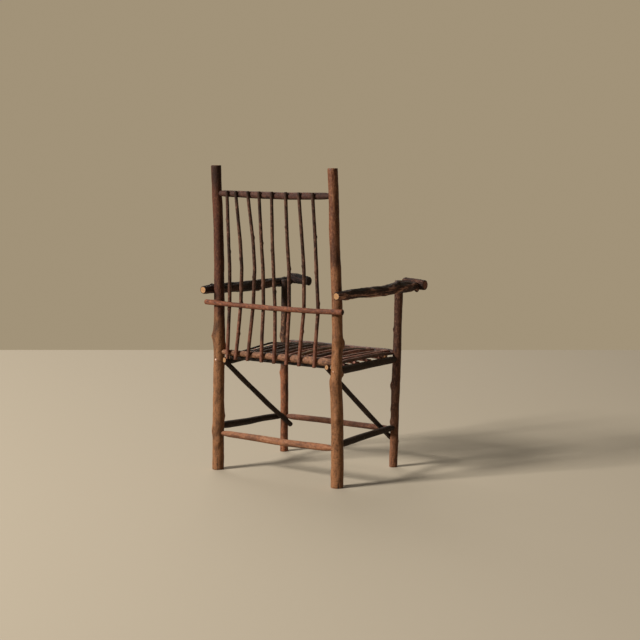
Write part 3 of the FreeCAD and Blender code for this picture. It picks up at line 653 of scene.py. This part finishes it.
# The right rest's end grain is reddish, and paler than its own tone as painted highlight
red_end_and_highlight = sawn_end("red_end_grain_and_highlight", tone(150, 100, 82), tone(112, 72, 58), tone(44, 28, 22))
# Knobs, stubs of side branches and the long groove near the right arm's front; shares run back from the front
# end, 90 degrees is an arm's underside and 180 its right side
arm_buds = {
    "left": (
        (0.08, 270, 0.003, 0.012, 1.5, 0.3), (0.9, 270, 0.004, 0.01, 1.2, 0.3),
        (0.4, 90, 0.004, 0.012, 1.6, 0.5), (0.7, 250, 0.002, 0.016, 2, 0),
    ),
    "right": (
        (0.89, 95, 0.003, 0.014, 1.4, 0.3), (0.71, 270, 0.0015, 0.008, 1.2, 0.4),
        (0.5, 190, 0.002, 0.005, 1.8, -0.6), (0.26, 262, 0.006, 0.009, 1.2, 1),
        # The long pale streaks along the right arm's side: partly worn bark, partly painted highlight on its
        # ridges
        (0.14, 236, -0.005, 0.007, 5, 1), (0.17, 203, 0.003, 0.006, 7, -0.5),
        (0.62, 208, 0.002, 0.0055, 9, -0.6), (0.36, 200, 0.002, 0.0055, 6, -0.5),
        (0.82, 165, 0.0015, 0.005, 7, -0.5),
    ),
}
rest_buds = {
    "left": ((0.1, 60, 0.003, 0.012, 1, 0.3), (0.6, 80, 0.002, 0.014, 2, 0)),
    "right": (
        # The pale spot near the right rest's end is painted highlight
        (0.1, 25, 0.002, 0.007, 1, -0.6), (0.9, 90, 0.002, 0.01, 1, 0.6), (0.35, 350, -0.002, 0.006, 2, 0.8),
        (0.3, 40, 0.001, 0.005, 2.5, -0.5),
    ),
}
for side, arm_finish, rest_finish, rest_cut, rest_thick in (
    ("left", painted_shade_arm_bark, painted_shade_rest_bark, painted_shade_end, 0.003), ("right", arm_bark, rest_bark, red_end_and_highlight, 0),
):
    stick(f"arm_{side}", "bark_dark", arm_finish, GNARLED_GRAIN, step=0.0045, buds=arm_buds[side], seed=2,
          ridged=True)
    stick(f"hand_rest_{side}", "bark_dark", rest_finish, GNARLED_GRAIN, step=0.003, buds=rest_buds[side],
          seed=3, cut=rest_cut, ridged=True, thick=rest_thick)


# Nails. Most crossings are nailed with plain round wire nails, whose dull domed heads sit just in the bark.
# Pale ones hold the side rails' tenons from behind; the rest have darkened with the wood.
HEAD_HEIGHT, HEAD_TILT, SHANK_LENGTH, NAIL_SIDES = 0.0009, 0.0003, 0.016, 12
END_MARGIN = 0.012
ACROSS, BACK, UP = 0, 1, 2
UPWARD = (0, 0, 1)


def steel(name, bright, rust, shine=0.7):
    """Dull drawn steel with rust in spots."""
    finish = Finish(name)
    spot = finish.add("NewGeometry", {}, {})
    spots = finish.add("TexNoise", {}, {"Vector": spot, "Scale": 900, "Detail": 3})
    finish.join(finish.surface["Metallic"], shine)
    return finish.lay(finish.mix(bright, rust, spots.between(0.45, 0.65)), 0.5 + spots * 0.3, spots, 0.0002)


def girth_at(node, place, axis):
    """The middle and the radius of a stick where it passes a place on one of the chair's axes."""
    centres, usual, _ = spines[node]
    nearest = int(np.argmin(np.abs(centres[:, axis] - place)))
    return Vector(centres[nearest]), float(usual[nearest])


def nailed(node, place, axis, facing, sunk=0.0002):
    """A nail in a stick's surface, on the side that it faces."""
    middle, radius = girth_at(node, place, axis)
    return middle + Vector(facing) * (radius - sunk), Vector(facing)


def nails(name, finish, places, head=0.0024):
    """Wire nails driven at each place, against the way that their heads face."""
    shank = head * 0.45
    profile = (
        (0, -SHANK_LENGTH), (shank, -SHANK_LENGTH * 0.8), (shank, -0.0004), (head * 0.9, -0.0003),
        (head, HEAD_HEIGHT * 0.3), (head * 0.75, HEAD_HEIGHT * 0.8), (0, HEAD_HEIGHT),
    )
    mesh = bmesh.new()
    for number, (place, facing) in enumerate(places):
        turn = Vector(UPWARD).rotation_difference(facing).to_matrix()
        tilt = Vector((math.sin(number * 2.1), math.cos(number * 1.7), 0)) * HEAD_TILT
        rings = []
        for radius, rise in profile:
            sides = NAIL_SIDES if radius else 1
            ring = []
            for side in range(sides):
                angle = 2 * math.pi * side / sides
                spoke = Vector((math.cos(angle), math.sin(angle), 0))
                lift = tilt.dot(spoke) if rise > 0 else 0
                ring.append(mesh.verts.new(place + turn @ (spoke * radius + Vector((0, 0, rise + lift)))))
            rings.append(ring)
        for lower, upper in zip(rings, rings[1:]):
            for side in range(NAIL_SIDES):
                after = (side + 1) % NAIL_SIDES
                corners = [lower[at % len(lower)] for at in (side, after)]
                corners += [upper[at % len(upper)] for at in (after, side)]
                mesh.faces.new(list(dict.fromkeys(corners)))
    piece_of_chair(name, mesh, (finish,))


dark_places = []
for number in spindle_buds:
    spindle = f"spindle_{number}"
    x = girth_at(spindle, 0.9, UP)[0].x
    for holder in ("top_rail", "back_seat_rail"):
        level = girth_at(holder, x, ACROSS)[0].z
        dark_places.append(nailed(spindle, level, UP, BACKWARD))
for side, outer in (("left", (1, 0, 0)), ("right", (-1, 0, 0))):
    inner = tuple(-part for part in outer)
    post = girth_at(f"back_post_{side}", 0.62, UP)[0]
    leg = girth_at(f"front_leg_{side}", 0.6, UP)[0]
    for along, lift in ((post.x - 0.004, 0.002), (post.x + 0.005, -0.002)):
        place, facing = nailed("lumbar_rail", along, ACROSS, BACKWARD)
        dark_places.append((place + Vector((0, 0, lift)), facing))
    for upright in (post, leg):
        dark_places.append(nailed(f"arm_{side}", upright.y, BACK, outer))
        dark_places.append(nailed(f"arm_{side}", upright.y + 0.012, BACK, outer))
    arm = girth_at(f"arm_{side}", -0.24, BACK)[0]
    for shift in (-0.01, 0.01):
        dark_places.append(nailed(f"hand_rest_{side}", arm.x + shift, ACROSS, UPWARD))
    for upright in (post, leg):
        dark_places.append(nailed(f"brace_{side}", upright.y, BACK, inner))
for number in range(2, 15):
    twig = f"seat_twig_{number:02d}"
    run = spines[twig][0][:, 1]
    for place in (run.max() - END_MARGIN, run.min() + END_MARGIN):
        dark_places.append(nailed(twig, place, BACK, UPWARD))
nails("nails", steel("darkened_nails", tone(52, 44, 40), tone(40, 25, 18)), dark_places)

pale_places = []
for side, lift in (("left", 0.011), ("right", 0.002)):
    level = spines[f"side_seat_rail_{side}"][0][-1][2]
    pale_places.append(nailed(f"back_post_{side}", level + lift, UP, BACKWARD, sunk=0))
worn_steel = steel("worn_nails", tone(226, 190, 168), tone(186, 138, 114), shine=0.1)
nails("tenon_nails", worn_steel, pale_places, head=0.0038)
